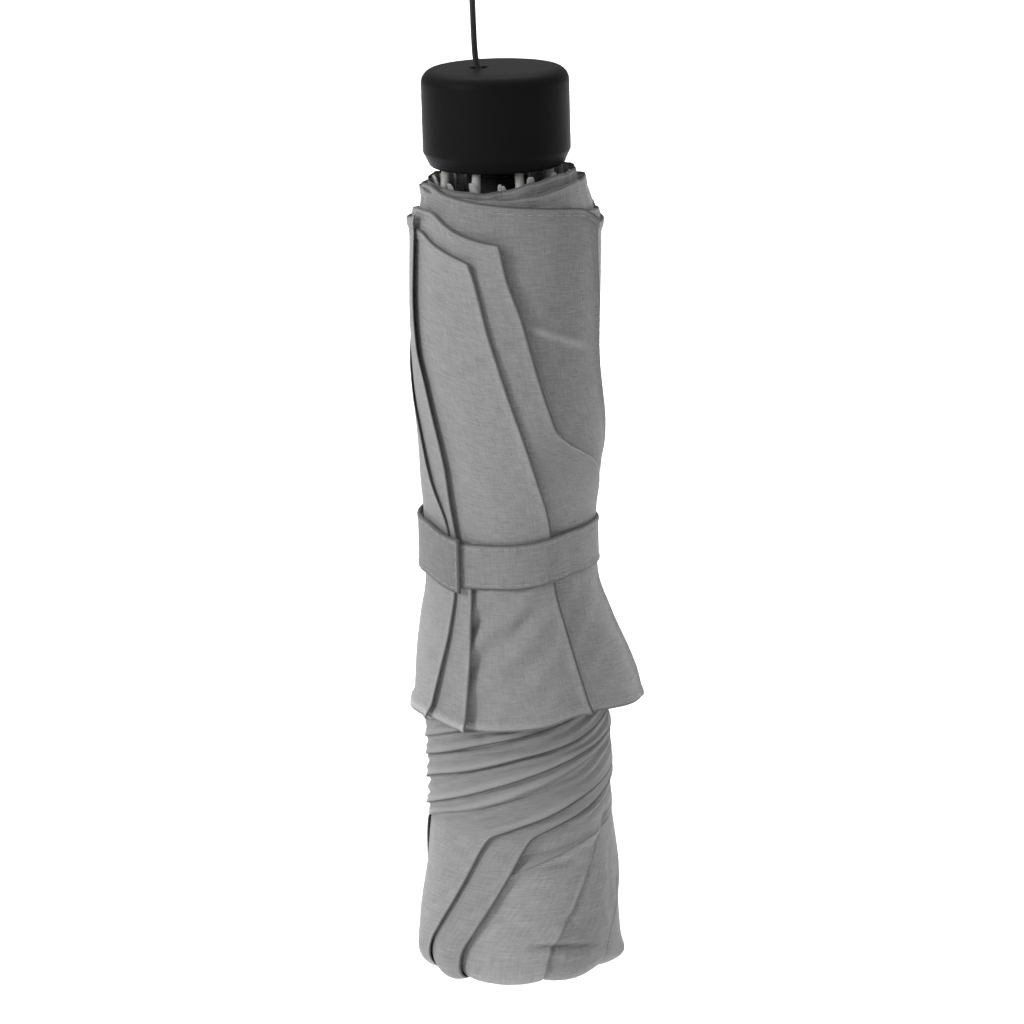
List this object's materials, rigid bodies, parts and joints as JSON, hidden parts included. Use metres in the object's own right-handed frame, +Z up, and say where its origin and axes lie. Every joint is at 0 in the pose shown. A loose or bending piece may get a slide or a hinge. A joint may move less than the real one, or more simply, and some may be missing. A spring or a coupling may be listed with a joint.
{
  "type": "folding umbrella",
  "caption": "Compact folding umbrella, closed, wrapped and strapped, with a short black cup handle on a wrist cord and a telescoping shaft inside the rolled grey canopy.",
  "frame": {"origin": "top of the wrist cord's loop, where a hook holds the umbrella; the umbrella's own axis is 6 mm away along +X, because the cord leaves the handle beside its centre", "axes": "+Z up along the shaft, from the crown to the handle; -Y is the front, where the canopy's flaps and the strap's end show; +X is to the right of that view, where the skirt's corner stands out"},
  "size_m": [0.0613, 0.0524, 0.3088],
  "materials": {
    "handle_plastic": "fine matte, soft highlights",
    "frame_plastic": "moulded matte",
    "rib_tips": "pale smooth plastic",
    "steel": "drawn tube and pressed channel",
    "canopy_fabric": "thin plain-woven polyester, matte with a slight sheen",
    "cord": "braided nylon"
  },
  "bodies": {
    "handle": {"handle_shell": "handle_plastic", "handle_hub": "frame_plastic", "handle_screw": "steel", "tube_plug": "frame_plastic", "cord_knot": "cord", "wrist_cord": "cord", "lower_tube": "steel", "lower_tube_catch": "steel"},
    "middle_shaft": {"middle_tube": "steel", "middle_tube_catch": "steel"},
    "canopy_bundle": {"upper_tube": "steel", "runner": "frame_plastic", "runner_wire": "steel", "top_notch": "frame_plastic", "notch_wire": "steel", "crown_cap": "frame_plastic", "canopy": "canopy_fabric", "tie_strap": "canopy_fabric", "primary_rib_1": "steel", "primary_rib_2": "steel", "primary_rib_3": "steel", "primary_rib_4": "steel", "primary_rib_5": "steel", "primary_rib_6": "steel", "primary_rib_7": "steel", "primary_rib_8": "steel", "middle_rib_1": "steel", "middle_rib_2": "steel", "middle_rib_3": "steel", "middle_rib_4": "steel", "middle_rib_5": "steel", "middle_rib_6": "steel", "middle_rib_7": "steel", "middle_rib_8": "steel", "outer_rib_1": "steel", "outer_rib_2": "steel", "outer_rib_3": "steel", "outer_rib_4": "steel", "outer_rib_5": "steel", "outer_rib_6": "steel", "outer_rib_7": "steel", "outer_rib_8": "steel", "rib_tip_1": "rib_tips", "rib_tip_2": "rib_tips", "rib_tip_3": "rib_tips", "rib_tip_4": "rib_tips", "rib_tip_5": "rib_tips", "rib_tip_6": "rib_tips", "rib_tip_7": "rib_tips", "rib_tip_8": "rib_tips", "stretcher_1": "steel", "stretcher_2": "steel", "stretcher_3": "steel", "stretcher_4": "steel", "stretcher_5": "steel", "stretcher_6": "steel", "stretcher_7": "steel", "stretcher_8": "steel"},
    "runner_catch": {"runner_catch": "steel"},
    "strap_tab": {"strap_tab": "canopy_fabric"}
  },
  "joints": [
    {"name": "middle_tube_slide", "type": "slide", "parent": "handle", "child": "middle_shaft", "axis": [0, 0, -1], "range_m": [0, 0.135]},
    {"name": "upper_tube_slide", "type": "slide", "parent": "middle_shaft", "child": "canopy_bundle", "axis": [0, 0, -1], "range_m": [0, 0.135]},
    {"name": "runner_catch_press", "type": "slide", "parent": "canopy_bundle", "child": "runner_catch", "axis": [-1, 0, 0], "range_m": [0, 0.0016], "stiffness_N_per_m": 400},
    {"name": "strap_tab_peel", "type": "hinge", "parent": "canopy_bundle", "child": "strap_tab", "pos_m": [-0.01826, 0.00212, -0.1928], "axis": [0, 0, -1], "range_deg": [0, 100]}
  ]
}
